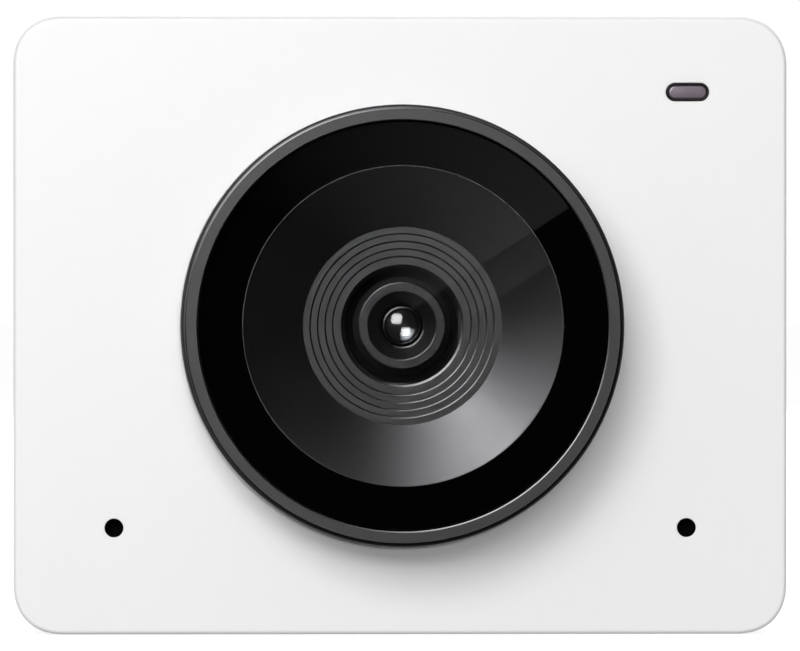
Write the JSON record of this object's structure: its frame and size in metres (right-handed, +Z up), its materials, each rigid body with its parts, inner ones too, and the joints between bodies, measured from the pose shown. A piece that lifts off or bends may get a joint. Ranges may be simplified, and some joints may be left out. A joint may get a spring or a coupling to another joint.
{
  "type": "webcam",
  "caption": "Compact USB webcam with a rounded rectangular body, a round lens barrel under flat glass, an autofocus lens, a status light, microphone holes and a tripod thread.",
  "frame": {"origin": "middle of the underside, below the middle of the whole depth", "axes": "+X to the right seen from the front, the lens looks along -Y, +Z up"},
  "size_m": [0.0456, 0.0208, 0.0364],
  "materials": {
    "shell_white": "fine satin moulded polycarbonate",
    "barrel_black": "satin black",
    "ring_grey": "bead-blasted, anodised dark grey, bright chamfer",
    "window_glass": "clear, coated, black printed border",
    "funnel_black": "satin black, finely turned",
    "baffle_grey": "matte dark grey",
    "lens_black": "satin black",
    "lens_glass": "polished, coated",
    "filter_glass": "polished, tinted coating",
    "module_plastic": "glass-filled black",
    "coil_copper": "enamelled copper wire",
    "magnet_nickel": "nickel plated",
    "spring_copper": "etched copper alloy",
    "can_steel": "drawn sheet, nickel plated",
    "screw_black": "black zinc",
    "screw_steel": "zinc plated",
    "pin_tin": "tin plated",
    "board_blue": "dark solder mask",
    "chip_black": "moulded epoxy",
    "part_tan": "ceramic",
    "connector_cream": "moulded nylon",
    "pad_grey": "soft silicone",
    "sink_aluminium": "black anodised",
    "boot_rubber": "matte silicone",
    "mesh_black": "woven dust mesh",
    "bush_brass": "turned",
    "light_grey": "smoked translucent",
    "led_yellow": "phosphor in clear epoxy"
  },
  "bodies": {
    "housing": {"front_cover": "shell_white", "rear_cover": "shell_white", "rear_screws": "screw_black", "tripod_insert": "bush_brass", "barrel_tube": "barrel_black", "bezel_ring": "ring_grey", "cover_glass": "window_glass", "barrel_screws": "screw_steel", "funnel_cone": "funnel_black", "stepped_baffle": "baffle_grey", "focus_magnets": "magnet_nickel", "focus_frame": "module_plastic", "front_leaf_spring": "spring_copper", "rear_leaf_spring": "spring_copper", "actuator_can": "can_steel", "actuator_base": "module_plastic", "actuator_pins": "pin_tin", "filter_holder": "module_plastic", "ir_filter": "filter_glass", "image_sensor": "chip_black", "sensor_glass": "lens_glass", "sensor_board": "board_blue", "sensor_board_parts": "part_tan", "sensor_screws": "screw_steel", "link_plug": "connector_cream", "link_socket": "connector_cream", "main_board": "board_blue", "main_board_screws": "screw_steel", "image_processor": "chip_black", "thermal_pad": "pad_grey", "heat_sink": "sink_aluminium", "heat_sink_pins": "screw_steel", "shield_can": "can_steel", "memory_chip": "chip_black", "power_inductors": "chip_black", "board_parts": "part_tan", "usb_shell": "can_steel", "usb_tongue": "module_plastic", "microphones": "can_steel", "mic_boots": "boot_rubber", "mic_meshes": "mesh_black", "light_pipe": "light_grey", "light_sleeve": "barrel_black", "status_led": "led_yellow"},
    "lens_carriage": {"lens_barrel": "lens_black", "lens_retainer": "lens_black", "front_element": "lens_glass", "second_element": "lens_glass", "third_element": "lens_glass", "focus_carrier": "module_plastic", "focus_coil": "coil_copper"}
  },
  "joints": [
    {"name": "focus_slide", "type": "slide", "parent": "housing", "child": "lens_carriage", "axis": [0, -1, 0], "range_m": [0, 0.0003], "stiffness_N_per_m": 20, "springref_m": -0.00005, "deforming": ["front_leaf_spring", "rear_leaf_spring"]}
  ]
}
